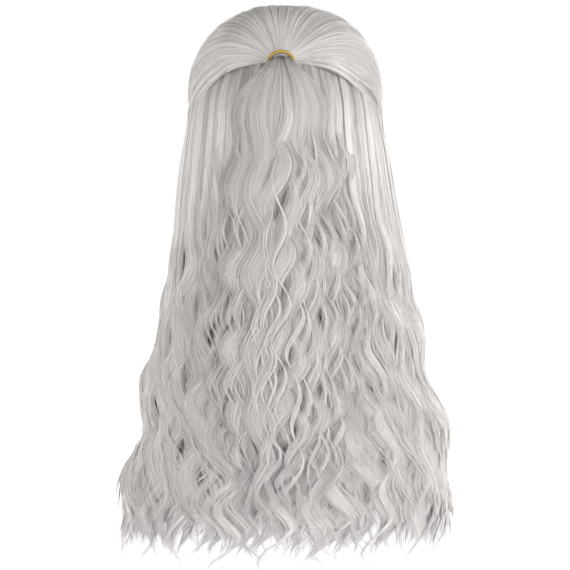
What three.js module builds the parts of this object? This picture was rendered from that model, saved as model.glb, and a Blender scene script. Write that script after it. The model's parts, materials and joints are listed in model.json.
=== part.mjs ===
// A long half-up costume wig: a stretch cap with bands, ribbons and weft tracks, an elastic adjuster
// on each side of the nape, and the hair as locks that are sewn to the tracks.
// Millimetres, +Z up. The wearer faces -Y, with the left hand at +X. The origin is the inner crown
// of the cap. Angles are in degrees: an azimuth is 0 at the face, 90 at the left ear and 180 at the
// back, and a polar angle is 0 at the crown and 90 at the level of the head's centre.
import * as THREE from "three";

// Head form that the cap is made to: an ellipsoid of these semi-axes, with its top at the origin
const HEAD = new THREE.Vector3(77, 96, 100);
const HEAD_CENTRE = new THREE.Vector3(0, 0, -HEAD.z);

// Where the cap ends, as a polar angle at each azimuth, the same on both sides
const RIM = [[0, 61], [40, 70], [60, 82], [78, 90], [96, 92], [112, 101], [130, 112], [150, 118], [180, 121]];
const BAND_ANGLE = 7; // height of the front and nape bands
const PATCH_ANGLE = 24; // how far the closed patch at the crown reaches
const RIBBON_HALF = 3.2;
const TRACK_ANGLE = 2.2;
const TRACK_POLARS = [30, 42, 54, 66, 78, 90, 102, 112];
const EAR_TAB = { azimuth: 71, half: 9, top: 83, bottom: 107 };

// Height above the head form of each layer of the cap: where it starts and ends
const NET = [0, 1];
const RIBBON = [1.6, 2.6];
const STAY = [2.9, 3.9];
const TRACK = [3.4, 5.2];
const HAIR_BASE = 7;

// The hair tie at the back of the crown, where the upper hair is gathered
const TIE_POLAR = 57;
const TIE_AZIMUTH = 177.5;
const TIE_CENTRE = new THREE.Vector3(4, 101, -43);
const TIE_DROOP = 20; // its hole points back and this far down
const TIE_HOLE = 11;
const TIE_THICKNESS = 3;
const TIE_WIDTH = 4;
const ROOT_RADIUS = 10.4;

// Outside of the dressed hair over the skull, which is fuller than an ellipsoid
const HAIR = new THREE.Vector3(102, 118, 118);
const FULLNESS = 2.4;
const TOP_REACH = 116; // from the tie to the front hairline
const TOP_NEAR = 7.2; // where the upper hair meets the tie
const TOP_LOCKS = ["right_3", "right_2", "right_1", "centre", "left_1", "left_2", "left_3"];

// The long hair below it: semi-width and semi-depth of its outside at each height
const FALL_WIDTH = [[-560, 158], [-518, 163], [-458, 163], [-398, 152], [-338, 139], [-278, 126],
  [-218, 116], [-158, 108], [-100, 102]];
const FALL_DEPTH = [[-560, 118], [-400, 116], [-220, 116], [-100, 118]];
const FALL_THICK = [[-560, 16], [-480, 22], [-300, 26], [-200, 24], [-100, 14]];
const FALL_TIP = -540;
const FALL_RINGS = 24;
const WAVE_START = -170;
const WAVE_SIZE = 10;
const WAVE_LENGTH = 95;
const LOCK_SIDES = 8;
const BACK_LOCKS = ["side_lock_left", "back_lock_left_4", "back_lock_left_3", "back_lock_left_2",
  "back_lock_left_1", "back_lock_centre", "back_lock_right_1", "back_lock_right_2",
  "back_lock_right_3", "back_lock_right_4", "side_lock_right"];
const BACK_FROM = 79;

// Hinge points of the hair that swings
const PONYTAIL_HINGE = new THREE.Vector3(4, 113.7, -47.6);
const TRESS_HINGE = new THREE.Vector3(86, -36, -128);
const PONYTAIL_BALL = 10;
const TRESS_BALL = 9;
const TRESS_AZIMUTH = 66;
const TRESS_HALF = 7.6;
const TRESS_TIP = -524;

// The ponytail's route as [y, z], and its half width and half depth by share of its length
const PONYTAIL_ROUTE = [[113.7, -47.6], [123, -56], [129.5, -72], [133, -96], [134, -135], [133, -190],
  [133, -250], [133, -310], [132, -370], [131, -420], [130, -458]];
const PONYTAIL_WIDTH = [[0, 10], [0.03, 14], [0.09, 33], [0.2, 45], [0.45, 58], [0.7, 60], [0.85, 44],
  [1, 4]];
const PONYTAIL_DEPTH = [[0, 10], [0.1, 9.5], [0.5, 11], [0.85, 9], [1, 2]];

// Each adjuster runs on an arc inside the nape, here on the left side
const ARC_CENTRE = new THREE.Vector3(-3.5, 21, -136);
const ARC_RADIUS = 68.9;
const ARC_SLOPE = 0.36; // the nape narrows downwards
const LOOP_TAPE = { angles: [9, 37.6], depths: [0.9, 1.4], half: 4.5 };
const STRAP = { angles: [37.9, 53], depths: [1.2, 2.2], half: 4 };
// The hook's folded plate, from the end of its lip: [angle, depth] of each face in turn
const HOOK = [[[35.5, 1.8], [35.5, 2.4]], [[30, 1.8], [31, 2.4]], [[30, 3.8], [31, 2.9]],
  [[37, 3.8], [37, 2.9]]];

const HAIR_COLOUR = 0xbcb9b4;
const CAP_COLOUR = 0xcfcac2;

const radians = THREE.MathUtils.degToRad;
const mix = THREE.MathUtils.lerp;
const ease = (x, from, to) => THREE.MathUtils.smoothstep(x, from, to);
const vector = (x, y, z) => new THREE.Vector3(x, y, z);
const steps = (count, from, to) => Array.from({ length: count + 1 }, (_, i) => mix(from, to, i / count));

// ---- Solids ----

// One closed body from faces of three or four corners: shared corners are merged, faces that have
// shrunk to a line are dropped, and the whole is turned the right way out.
function solid(faces) {
  const corners = new Map();
  const positions = [];
  const index = [];
  const corner = (p) => {
    const key = [p.x, p.y, p.z].map((value) => Math.round(value * 1000)).join();
    if (!corners.has(key)) {
      corners.set(key, positions.length / 3);
      positions.push(p.x, p.y, p.z);
    }
    return corners.get(key);
  };
  const triangle = (a, b, c) => {
    if (a !== b && b !== c && c !== a) index.push(a, b, c);
  };
  for (const face of faces) {
    const ids = face.map(corner);
    triangle(ids[0], ids[1], ids[2]);
    if (ids.length === 4) triangle(ids[0], ids[2], ids[3]);
  }
  const at = (id) => new THREE.Vector3().fromArray(positions, id * 3);
  let volume = 0;
  for (let i = 0; i < index.length; i += 3) {
    volume += at(index[i]).dot(at(index[i + 1]).cross(at(index[i + 2])));
  }
  const geometry = new THREE.BufferGeometry();
  geometry.setAttribute("position", new THREE.Float32BufferAttribute(positions, 3));
  geometry.setIndex(volume < 0 ? index.reverse() : index);
  geometry.computeVertexNormals();
  return geometry;
}

// A sheet with thickness: place(u, v, layer) gives its inner face at layer 0 and its outer at 1.
function shell(place, us, vs, closed = false) {
  const faces = [];
  const wall = (u0, v0, u1, v1) => {
    faces.push([place(u0, v0, 1), place(u1, v1, 1), place(u1, v1, 0), place(u0, v0, 0)]);
  };
  for (let i = 0; i + 1 < us.length; i++) {
    for (let j = 0; j + 1 < vs.length; j++) {
      const cell = [[us[i], vs[j]], [us[i + 1], vs[j]], [us[i + 1], vs[j + 1]], [us[i], vs[j + 1]]];
      faces.push(cell.map(([u, v]) => place(u, v, 1)));
      faces.push(cell.map(([u, v]) => place(u, v, 0)).reverse());
    }
    wall(us[i + 1], vs[0], us[i], vs[0]);
    wall(us[i], vs.at(-1), us[i + 1], vs.at(-1));
  }
  for (let j = 0; j + 1 < vs.length && !closed; j++) {
    wall(us[0], vs[j], us[0], vs[j + 1]);
    wall(us.at(-1), vs[j + 1], us.at(-1), vs[j]);
  }
  return solid(faces);
}

// A closed body through a row of rings with the same number of points each.
function loft(rings) {
  const faces = [];
  const count = rings[0].length;
  for (let i = 0; i + 1 < rings.length; i++) {
    for (let k = 0; k < count; k++) {
      const next = (k + 1) % count;
      faces.push([rings[i][k], rings[i][next], rings[i + 1][next], rings[i + 1][k]]);
    }
  }
  for (const [ring, turned] of [[rings[0], true], [rings.at(-1), false]]) {
    const middle = ring.reduce((sum, p) => sum.add(p), vector(0, 0, 0)).divideScalar(count);
    for (let k = 0; k < count; k++) {
      const edge = [ring[k], ring[(k + 1) % count]];
      faces.push([middle, ...(turned ? edge.reverse() : edge)]);
    }
  }
  return solid(faces);
}

// A smooth value through a table of [position, value] rows in rising order of position.
function through(table, x) {
  const last = table.length - 1;
  let i = 0;
  while (i < last - 1 && x > table[i + 1][0]) i++;
  const slope = (k) => {
    const [low, high] = [table[Math.max(k - 1, 0)], table[Math.min(k + 1, last)]];
    return (high[1] - low[1]) / (high[0] - low[0]);
  };
  const [[x0, y0], [x1, y1]] = [table[i], table[i + 1]];
  const step = x1 - x0;
  const t = THREE.MathUtils.clamp((x - x0) / step, 0, 1);
  const rise = t * t * (3 - 2 * t);
  return mix(y0, y1, rise) + step * t * (1 - t) * ((1 - t) * slope(i) - t * slope(i + 1));
}

// ---- Places on the head ----

function direction(azimuth, polar) {
  const [a, p] = [radians(azimuth), radians(polar)];
  return vector(Math.sin(p) * Math.sin(a), -Math.sin(p) * Math.cos(a), Math.cos(p));
}

function onHead(towards, height) {
  return HEAD.clone().addScalar(height).multiply(towards).add(HEAD_CENTRE);
}

const capPoint = (azimuth, polar, height) => onHead(direction(azimuth, polar), height);

function rimPolar(azimuth) {
  const turned = THREE.MathUtils.euclideanModulo(azimuth, 360);
  return through(RIM, turned > 180 ? 360 - turned : turned);
}

// ---- The cap ----

function crownNet() {
  const place = (azimuth, share, layer) => capPoint(azimuth % 360, share * rimPolar(azimuth), NET[layer]);
  return shell(place, steps(32, 0, 360), steps(12, 0, 1), true);
}

// A strip along the cap's rim between two azimuths.
function rimBand(from, to) {
  const place = (azimuth, up, layer) => capPoint(azimuth, rimPolar(azimuth) - up * BAND_ANGLE, RIBBON[layer]);
  const count = Math.round((to - from) / 7.5);
  return shell(place, steps(count, from, to), [0, 1]);
}

// The tongue in front of the ear: it narrows downwards to a rounded end.
function earTab(side) {
  const place = (across, down, layer) => {
    const taper = 1 - 0.55 * down ** 3;
    const round = 2.5 * across * across * down;
    const azimuth = EAR_TAB.azimuth + across * EAR_TAB.half * taper;
    return capPoint(side * azimuth, mix(EAR_TAB.top, EAR_TAB.bottom, down) - round, RIBBON[layer]);
  };
  return shell(place, steps(4, -1, 1), steps(5, 0, 1));
}

// The flat spring wire that keeps the tab bent to the temple.
function earTabStay(side) {
  const place = (across, polar, layer) => capPoint(side * (EAR_TAB.azimuth + across), polar, STAY[layer]);
  return shell(place, [-1, 1], steps(4, EAR_TAB.top + 3, EAR_TAB.bottom - 4));
}

function crownPatch() {
  const place = (azimuth, polar, layer) => capPoint(azimuth % 360, polar, RIBBON[layer]);
  return shell(place, steps(24, 0, 360), steps(3, 0, PATCH_ANGLE), true);
}

// A ribbon that runs from the crown patch down to the nape band.
function ribbon(azimuth) {
  const place = (across, share, layer) => {
    const end = rimPolar(azimuth + across) - BAND_ANGLE - 0.8;
    return capPoint(azimuth + across, mix(PATCH_ANGLE + 0.6, end, share), RIBBON[layer]);
  };
  return shell(place, [-RIBBON_HALF, RIBBON_HALF], steps(10, 0, 1));
}

// A track of machine-sewn hair ends, all round the crown or from ear to ear behind the head.
function weftTrack(polar) {
  let start = 0;
  while (rimPolar(start) < polar + 3) start += 1;
  const place = (azimuth, up, layer) => capPoint(azimuth % 360, polar + up * TRACK_ANGLE, TRACK[layer]);
  if (start === 0) return shell(place, steps(30, 0, 360), [0, 1], true);
  return shell(place, steps(Math.round((360 - 2 * start) / 11), start, 360 - start), [0, 1]);
}

// ---- The adjusters inside the nape ----

// A point on the adjuster's arc: an angle from straight back, a depth inside the cap, a height.
function arcPoint(side, angle, depth, height) {
  const radius = ARC_RADIUS - depth + ARC_SLOPE * height;
  const turned = radians(angle);
  const x = ARC_CENTRE.x + radius * Math.sin(turned);
  return vector(side * x, ARC_CENTRE.y + radius * Math.cos(turned), ARC_CENTRE.z + height);
}

function arcStrip(side, { angles, depths, half }, count) {
  const place = (angle, height, layer) => arcPoint(side, angle, depths[1 - layer], height);
  return shell(place, steps(count, ...angles), [-half, half]);
}

// The hook: a plate across the tape with its lip folded back between plate and tape.
function adjusterHook(side) {
  const place = (station, height, layer) => arcPoint(side, ...HOOK[station][layer], height);
  return shell(place, [...HOOK.keys()], [-STRAP.half, STRAP.half]);
}

// ---- The tie and the hair that it gathers ----

const TIE_OUT = vector(0, Math.cos(radians(TIE_DROOP)), -Math.sin(radians(TIE_DROOP)));
const towardsTie = direction(TIE_AZIMUTH, TIE_POLAR);
const towardsCrown = vector(0, 0, 1).addScaledVector(towardsTie, -towardsTie.z).normalize();
const towardsLeft = towardsTie.clone().cross(towardsCrown);

// A round section of the given half width and half depth, square to a path in the plane of X.
function section(centre, along, halfWidth, halfDepth, sides = 12) {
  const outward = vector(1, 0, 0).cross(along);
  return Array.from({ length: sides }, (_, k) => {
    const turn = (2 * Math.PI * k) / sides;
    return centre.clone().addScaledVector(vector(1, 0, 0), halfWidth * Math.cos(turn))
      .addScaledVector(outward, halfDepth * Math.sin(turn));
  });
}

// The elastic is a band with a rounded section, closed on itself.
function hairTie() {
  const profile = [[0, -1], [0.75, -0.75], [1, 0], [0.75, 0.75], [0, 1]]
    .map(([out, up]) => new THREE.Vector2(TIE_HOLE + TIE_THICKNESS * out, (TIE_WIDTH / 2) * up));
  const tie = new THREE.LatheGeometry([...profile, profile[0].clone()], 20);
  tie.applyQuaternion(new THREE.Quaternion().setFromUnitVectors(vector(0, 1, 0), TIE_OUT));
  tie.translate(TIE_CENTRE.x, TIE_CENTRE.y, TIE_CENTRE.z);
  return tie;
}

// The gathered roots inside the elastic, from the crown to just past the band.
function ponytailRoot() {
  const upright = towardsTie.clone().setX(0).normalize();
  const stations = [[onHead(towardsTie, HAIR_BASE + 0.5), upright, 8],
    [TIE_CENTRE.clone().addScaledVector(TIE_OUT, -3), TIE_OUT, ROOT_RADIUS],
    [TIE_CENTRE.clone().addScaledVector(TIE_OUT, 2.4), TIE_OUT, ROOT_RADIUS]];
  return loft(stations.map(([centre, along, radius]) => section(centre, along, radius, radius)));
}

// A place in the upper hair: a bearing about the tie, 0 to the crown and 90 to the left ear, a
// reach away from the tie, and a height of 0 at the cap to 1 outside.
function topHairPoint(bearing, reach, height) {
  const [b, r] = [radians(bearing), radians(reach)];
  const towards = towardsTie.clone().multiplyScalar(Math.cos(r))
    .addScaledVector(towardsCrown, Math.sin(r) * Math.cos(b))
    .addScaledVector(towardsLeft, Math.sin(r) * Math.sin(b));
  const size = towards.toArray().reduce((sum, part) => sum + Math.abs(part) ** FULLNESS, 0);
  const outside = HAIR.clone().multiply(towards).multiplyScalar(size ** (-1 / FULLNESS)).add(HEAD_CENTRE);
  const inside = onHead(towards, HAIR_BASE);
  const full = mix(0.35, 1, ease(TOP_REACH - reach, 0, 16)) * mix(0.4, 1, ease(reach, TOP_NEAR, 36));
  return inside.lerp(outside, full * height);
}

// One of the swept-back locks of the upper hair, thinner towards its two edges.
function topLock(order) {
  const width = 178 / TOP_LOCKS.length;
  const middle = (order - (TOP_LOCKS.length - 1) / 2) * width;
  const place = (across, share, layer) => {
    const reach = mix(TOP_NEAR, TOP_REACH - 8 * Math.abs(middle / 90) ** 2, share);
    const gap = THREE.MathUtils.radToDeg(0.7 / (100 * Math.sin(radians(reach))));
    return topHairPoint(middle + across * (width / 2 - gap), reach, layer * (1 - 0.3 * across ** 4));
  };
  return shell(place, steps(4, -1, 1), steps(12, 0, 1));
}

// ---- The long hair ----

const wavePhase = (z) => (2 * Math.PI * (WAVE_START - z)) / WAVE_LENGTH;
const waveSize = (z) => WAVE_SIZE * ease(WAVE_START - z, 0, 120);

// A place in the long hair, which hangs from the head like a curtain: an azimuth, a height of 0
// inside to 1 outside, and a level z. The hair near the face flares less than the rest.
function fallPoint(azimuth, height, z) {
  const above = Math.max(z - HEAD_CENTRE.z, 0);
  const outerFit = (1 - (above / HAIR.z) ** FULLNESS) ** (1 / FULLNESS);
  const innerFit = Math.sqrt(1 - (above / (HEAD.z + HAIR_BASE)) ** 2);
  const level = Math.min(z, HEAD_CENTRE.z);
  const thick = through(FALL_THICK, level);
  const fromFace = Math.min(azimuth, 360 - azimuth);
  const width = mix(HAIR.x, through(FALL_WIDTH, level), ease(fromFace, 55, 95));
  const depth = through(FALL_DEPTH, level);
  const halfWidth = mix((width - thick) * innerFit, width * outerFit, height);
  const halfDepth = mix((depth - thick) * innerFit, depth * outerFit, height);
  const sway = waveSize(z) * Math.sin(wavePhase(z));
  const lift = 0.35 * waveSize(z) * Math.cos(wavePhase(z));
  const turn = radians(azimuth) + sway / 115;
  return vector((halfWidth + lift) * Math.sin(turn), -(halfDepth + lift) * Math.cos(turn), z);
}

// The level where the long hair comes out under the upper hair, along a plane through the tie and
// both ears, with a dip below the tie.
function partingLevel(azimuth, height) {
  const normal = towardsCrown.clone().divide(HAIR).normalize();
  const below = 4 + 17 * Math.exp(-(((azimuth - TIE_AZIMUTH) / 12) ** 2));
  let [low, high] = [-175, 0];
  for (let round = 0; round < 20; round++) {
    const z = (low + high) / 2;
    const above = fallPoint(azimuth, height, z).sub(HEAD_CENTRE).dot(normal) + below;
    [low, high] = above > 0 ? [low, z] : [z, high];
  }
  return low;
}

// A lock of the long hair with a full section that narrows to a soft point.
function fallLock({ middle, half, layers, top, tip, rings = FALL_RINGS }) {
  const sectionAt = (share) => {
    const narrow = share < 0.74 ? 1 : Math.sqrt(1.01 - ((share - 0.74) / 0.26) ** 2);
    return Array.from({ length: LOCK_SIDES }, (_, k) => {
      const turn = (2 * Math.PI * (k + 0.5)) / LOCK_SIDES;
      const square = (value) => Math.sign(value) * Math.abs(value) ** 0.6;
      const azimuth = middle + half * narrow * square(Math.cos(turn));
      const full = mix(0.35, 1, ease(share, 0, 0.12));
      const height = mix(...layers, full * (0.5 + 0.5 * narrow * square(Math.sin(turn))));
      return fallPoint(azimuth, height, mix(top(azimuth, height), tip, share));
    });
  };
  return loft(steps(rings, 0, 1).map((share) => sectionAt(share ** 1.15)));
}

function backLock(order) {
  const pitch = (360 - 2 * BACK_FROM) / BACK_LOCKS.length;
  const middle = BACK_FROM + (order + 0.5) * pitch;
  const tip = FALL_TIP + 9 * Math.sin(2.4 * order);
  return fallLock({ middle, half: pitch / 2 - 0.95, layers: [0, 1], top: partingLevel, tip });
}

// Hair from the lowest tracks, which hangs inside the rest.
function napeLock(order) {
  const middle = 180 + order * 27;
  return fallLock({ middle, half: 12.5, layers: [-0.75, -0.1], top: () => -160, tip: -430, rings: 12 });
}

// The gathered hair below the tie: it starts as a ball about its hinge, turns down and fans out.
function ponytail() {
  const route = new THREE.CatmullRomCurve3(PONYTAIL_ROUTE.map(([y, z]) => vector(PONYTAIL_HINGE.x, y, z)));
  const rings = [0.98, 0.7, 0].map((share) => {
    const centre = PONYTAIL_HINGE.clone().addScaledVector(TIE_OUT, -PONYTAIL_BALL * share);
    const radius = PONYTAIL_BALL * Math.sqrt(1 - share * share);
    return section(centre, TIE_OUT, radius, radius);
  });
  for (const share of steps(24, 0.02, 1)) {
    const centre = route.getPointAt(share);
    const along = route.getTangentAt(share);
    centre.x -= waveSize(centre.z) * Math.sin(wavePhase(centre.z));
    centre.y += 0.35 * waveSize(centre.z) * Math.cos(wavePhase(centre.z));
    const [halfWidth, halfDepth] = [through(PONYTAIL_WIDTH, share), through(PONYTAIL_DEPTH, share)];
    rings.push(section(centre, along, halfWidth, halfDepth));
  }
  return loft(rings);
}

// The lock in front of each ear, from its rounded top at the ear tab to its tip.
function frontTress(side) {
  const hinge = TRESS_HINGE.clone().multiply(vector(side, 1, 1));
  const middle = side > 0 ? TRESS_AZIMUTH : 360 - TRESS_AZIMUTH;
  const turns = Array.from({ length: LOCK_SIDES }, (_, k) => (2 * Math.PI * k) / LOCK_SIDES);
  const round = (turn, radius, z) => {
    return vector(hinge.x + side * radius * Math.cos(turn), hinge.y + radius * Math.sin(turn), z);
  };
  const rings = [0.98, 0.7, 0].map((share) => {
    const radius = TRESS_BALL * Math.sqrt(1 - share * share);
    return turns.map((turn) => round(turn, radius, hinge.z + TRESS_BALL * share));
  });
  for (const share of steps(20, 0.05, 1)) {
    const z = mix(hinge.z, TRESS_TIP, share);
    const narrow = share < 0.7 ? 1 : Math.sqrt(1.01 - ((share - 0.7) / 0.3) ** 2);
    rings.push(turns.map((turn) => {
      const azimuth = middle + side * TRESS_HALF * narrow * Math.sin(turn);
      const wide = fallPoint(azimuth, 0.6 + 0.38 * narrow * Math.cos(turn), z);
      return round(turn, TRESS_BALL, z).lerp(wide, ease(share, 0, 0.16));
    }));
  }
  return loft(rings);
}

// ---- Assembly ----

const wig = new THREE.Group();

function add(name, geometry, color, roughness = 0.6, metalness = 0) {
  const mesh = new THREE.Mesh(geometry, new THREE.MeshStandardMaterial({ color, roughness, metalness }));
  mesh.name = name;
  wig.add(mesh);
}

add("crown_net", crownNet(), CAP_COLOUR, 0.9);
add("crown_patch", crownPatch(), 0xddd8d0, 0.8);
add("front_band", rimBand(-61, 61), 0xd6d1c8, 0.8);
add("nape_band", rimBand(81, 279), 0xd6d1c8, 0.8);
[["left_3", 120], ["left_2", 140], ["left_1", 160], ["centre", 180],
  ["right_1", 200], ["right_2", 220], ["right_3", 240]].forEach(([name, azimuth]) => {
  add(`ribbon_${name}`, ribbon(azimuth), 0xe0dcd4, 0.7);
});
TRACK_POLARS.forEach((polar, order) => {
  add(`weft_track_${order + 1}`, weftTrack(polar), 0xa9a6a2, 0.8);
});
for (const [name, side] of [["left", 1], ["right", -1]]) {
  add(`ear_tab_${name}`, earTab(side), 0xd6d1c8, 0.8);
  add(`ear_tab_stay_${name}`, earTabStay(side), 0xb0b2b5, 0.35, 1);
  add(`loop_tape_${name}`, arcStrip(side, LOOP_TAPE, 5), 0xe0dcd4, 0.7);
  add(`adjuster_strap_${name}`, arcStrip(side, STRAP, 3), 0xece9e2, 0.7);
  add(`adjuster_hook_${name}`, adjusterHook(side), 0xf0eee8, 0.4);
  add(`front_tress_${name}`, frontTress(side), HAIR_COLOUR, 0.5);
}
add("hair_tie", hairTie(), 0xbe9f33, 0.45);
add("ponytail_root", ponytailRoot(), HAIR_COLOUR, 0.5);
add("ponytail", ponytail(), 0xc6c3be, 0.5);
TOP_LOCKS.forEach((name, order) => add(`top_hair_${name}`, topLock(order), HAIR_COLOUR, 0.5));
BACK_LOCKS.forEach((name, order) => add(name, backLock(order), HAIR_COLOUR, 0.5));
[["nape_lock_left", -1], ["nape_lock_centre", 0], ["nape_lock_right", 1]].forEach(([name, order]) => {
  add(name, napeLock(order), 0xa5a29d, 0.5);
});

export default wig;
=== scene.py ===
"""A long half-up costume wig, seen from behind. Lengths are in millimetres, and each mesh is scaled
to metres when it is made. Azimuths are 0 at the face, 90 at the left ear and 180 behind."""

import json
import math
from types import SimpleNamespace as Spec  # what one lock is like

import bpy
import numpy as np
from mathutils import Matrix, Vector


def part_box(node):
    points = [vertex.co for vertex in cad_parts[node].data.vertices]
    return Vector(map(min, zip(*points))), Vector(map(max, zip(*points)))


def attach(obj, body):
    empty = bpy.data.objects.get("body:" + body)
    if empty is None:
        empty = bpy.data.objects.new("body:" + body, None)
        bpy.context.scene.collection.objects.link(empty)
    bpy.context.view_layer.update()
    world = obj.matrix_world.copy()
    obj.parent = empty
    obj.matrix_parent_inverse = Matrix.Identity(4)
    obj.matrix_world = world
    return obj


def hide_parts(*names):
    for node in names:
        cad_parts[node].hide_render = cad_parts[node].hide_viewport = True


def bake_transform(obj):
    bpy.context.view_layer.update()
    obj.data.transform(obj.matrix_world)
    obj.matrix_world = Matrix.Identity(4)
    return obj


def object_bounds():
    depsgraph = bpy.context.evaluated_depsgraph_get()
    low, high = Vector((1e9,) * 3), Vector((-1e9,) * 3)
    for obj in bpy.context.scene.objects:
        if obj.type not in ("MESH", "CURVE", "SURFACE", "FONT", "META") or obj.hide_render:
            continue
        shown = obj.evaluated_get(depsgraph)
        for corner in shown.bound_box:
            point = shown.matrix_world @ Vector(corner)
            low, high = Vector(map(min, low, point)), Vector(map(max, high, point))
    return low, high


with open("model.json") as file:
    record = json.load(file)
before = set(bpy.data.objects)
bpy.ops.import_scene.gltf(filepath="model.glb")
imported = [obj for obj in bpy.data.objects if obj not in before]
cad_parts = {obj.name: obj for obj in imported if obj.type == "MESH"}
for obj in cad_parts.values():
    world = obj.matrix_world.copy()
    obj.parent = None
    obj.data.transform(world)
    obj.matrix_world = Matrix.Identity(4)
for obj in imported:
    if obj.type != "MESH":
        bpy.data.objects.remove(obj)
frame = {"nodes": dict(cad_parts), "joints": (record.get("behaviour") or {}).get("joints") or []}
CAD_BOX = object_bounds()

MM = 0.001
TURN = 2 * np.pi
DENSITY = 1.0

# ---- Sizes that come from the frame ----


def corners(node):
    """The lowest and highest corners of a CAD node, in millimetres."""
    low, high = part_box(node)
    return np.array(low) / MM, np.array(high) / MM


def hinge_of(joint_name):
    """A joint's place, in millimetres."""
    joint = next(j for j in frame["joints"] if j["name"] == joint_name)
    return np.array(joint["pos_m"]) / MM


NET_HIGH = corners("crown_net")[1]
NET_THICK = NET_HIGH[2]  # the head form touches the level 0
HEAD = np.array([NET_HIGH[0] - NET_THICK, 96.0, 100.0])  # semi-axes of the head form
HEAD_CENTRE = np.array([0.0, 0.0, -HEAD[2]])
TIE_LOW, TIE_HIGH = corners("hair_tie")
TIE_CENTRE = (TIE_LOW + TIE_HIGH) / 2
TRESS_HINGE = hinge_of("tress_swing_left")
ARC_CENTRE = hinge_of("adjuster_travel_left")

# ---- Sizes of the design, as the CAD model has them ----

# The cap. Angles are in degrees: polar ones from the crown, as seen from the middle of the head.
RIM = [(0, 61), (40, 70), (60, 82), (78, 90), (96, 92), (112, 101), (130, 112), (150, 118),
       (180, 121)]  # polar angle of the cap's edge, by azimuth
BAND_ANGLE = 7.0  # width of the front and nape bands
FRONT_SPAN, NAPE_SPAN = (-61, 61), (81, 279)  # azimuths that the bands cover
PATCH_ANGLE = 24.0  # the crown patch reaches this far down
RIBBON = (1.6, 2.6)  # heights of a tape's two faces above the head form
TAB_AZIMUTH = 71
LABELS = (("left", 1), ("right", -1))

# The adjusters lie on an arc behind the nape, whose radius grows upwards.
ARC_RADIUS = 68.9
ARC_SLOPE = 0.36
LOOP_ANGLES, LOOP_DEPTHS, LOOP_HALF = (9, 37.6), (1.4, 0.9), 4.5
STRAP_ANGLES, STRAP_DEPTHS, STRAP_HALF = (37.4, 53), (2.2, 1.2), 4

# The tie is a ring whose hole points back and a little down.
TIE_POLAR = 57.0
TIE_AZIMUTH = 177.5
TIE_DROOP = math.radians(20)
TIE_HOLE = 11.0  # radius
TIE_THICKNESS = 3.0
TIE_WIDTH = 4.0

# The swept-up hair. Its reach is an angle from the tie.
HAIR_BASE = 7.0  # height of its inside above the head form
HAIR = np.array([102.0, 118.0, 118.0])  # semi-axes of its outside
FULLNESS = 2.4  # 2 would make the outside an ellipsoid, and more makes it squarer
TOP_REACH = 116.0
TOP_NEAR = 7.2
TOP_LOCKS = ["right_3", "right_2", "right_1", "centre", "left_1", "left_2", "left_3"]

# The long hair, by level: half width, half depth, shift towards the left, and thickness.
FALL_WIDTH = [(-560, 160), (-518, 165), (-458, 166), (-398, 155), (-338, 142), (-278, 129),
              (-218, 119), (-158, 111), (-100, 103)]
FALL_DEPTH = [(-560, 118), (-400, 116), (-220, 116), (-100, 118)]
FALL_LEAN = [(-560, 3), (-520, 4), (-490, -1), (-458, -5), (-428, -8), (-398, -7), (-368, -4),
             (-338, -3), (-248, -5), (-170, -1), (-100, 0)]
FALL_THICK = [(-560, 16), (-480, 22), (-300, 26), (-200, 24), (-100, 14)]
BACK_LOCKS = ["side_lock_left", *(f"back_lock_left_{n}" for n in (4, 3, 2, 1)),
              "back_lock_centre", *(f"back_lock_right_{n}" for n in (1, 2, 3, 4)),
              "side_lock_right"]
BACK_FROM = 79.0  # azimuth of the first lock's outer edge
TIP_LEVEL = -545.0

# ---- Small helpers ----


def mix(low, high, share):
    return low + (high - low) * share


def span(count, low=0.0):
    """Equal steps up to 1."""
    return np.linspace(low, 1, count)


def ease(x, start, end):
    """From 0 at start to 1 at end, smoothly."""
    t = np.clip((x - start) / (end - start), 0, 1)
    return t * t * (3 - 2 * t)


def through(table, x):
    """A smooth value through (position, value) rows, the same curve as the CAD model's."""
    xs, ys = np.array(table, float).T
    slopes = np.empty_like(ys)
    slopes[1:-1] = (ys[2:] - ys[:-2]) / (xs[2:] - xs[:-2])
    slopes[0], slopes[-1] = (ys[1] - ys[0]) / (xs[1] - xs[0]), (ys[-1] - ys[-2]) / (xs[-1] - xs[-2])
    i = np.clip(np.searchsorted(xs, x, side="right") - 1, 0, len(xs) - 2)
    step = xs[i + 1] - xs[i]
    t = np.clip((x - xs[i]) / step, 0, 1)
    bend = step * t * (1 - t) * ((1 - t) * slopes[i] - t * slopes[i + 1])
    return mix(ys[i], ys[i + 1], t * t * (3 - 2 * t)) + bend


def unit(v):
    return v / np.maximum(np.linalg.norm(v, axis=-1, keepdims=True), 1e-9)


def direction(azimuth, polar):
    """A unit vector from the middle of the head."""
    a, p = np.radians(azimuth), np.radians(polar)
    return np.stack([np.sin(p) * np.sin(a), -np.sin(p) * np.cos(a), np.cos(p) + 0 * a], axis=-1)


def cap_point(azimuth, polar, height):
    """A point at a height above the head form."""
    return (HEAD + np.asarray(height)[..., None]) * direction(azimuth, polar) + HEAD_CENTRE


def rim_polar(azimuth):
    """The polar angle of the cap's edge."""
    turned = np.mod(azimuth, 360)
    return through(RIM, np.minimum(turned, 360 - turned))


# ---- Places in the hair ----

TO_TIE = direction(np.array(TIE_AZIMUTH), np.array(TIE_POLAR))
TO_CROWN = unit(np.array([0, 0, 1.0]) - TO_TIE * TO_TIE[2])
TO_LEFT = np.cross(TO_TIE, TO_CROWN)
TIE_OUT = np.array([0, math.cos(TIE_DROOP), -math.sin(TIE_DROOP)])
TIE_UP = np.array([0, math.sin(TIE_DROOP), math.cos(TIE_DROOP)])
X_AXIS = np.array([1.0, 0, 0])
SIDE_RADIUS = 115.0  # turns a sideways shift of the long hair into an angle


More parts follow.
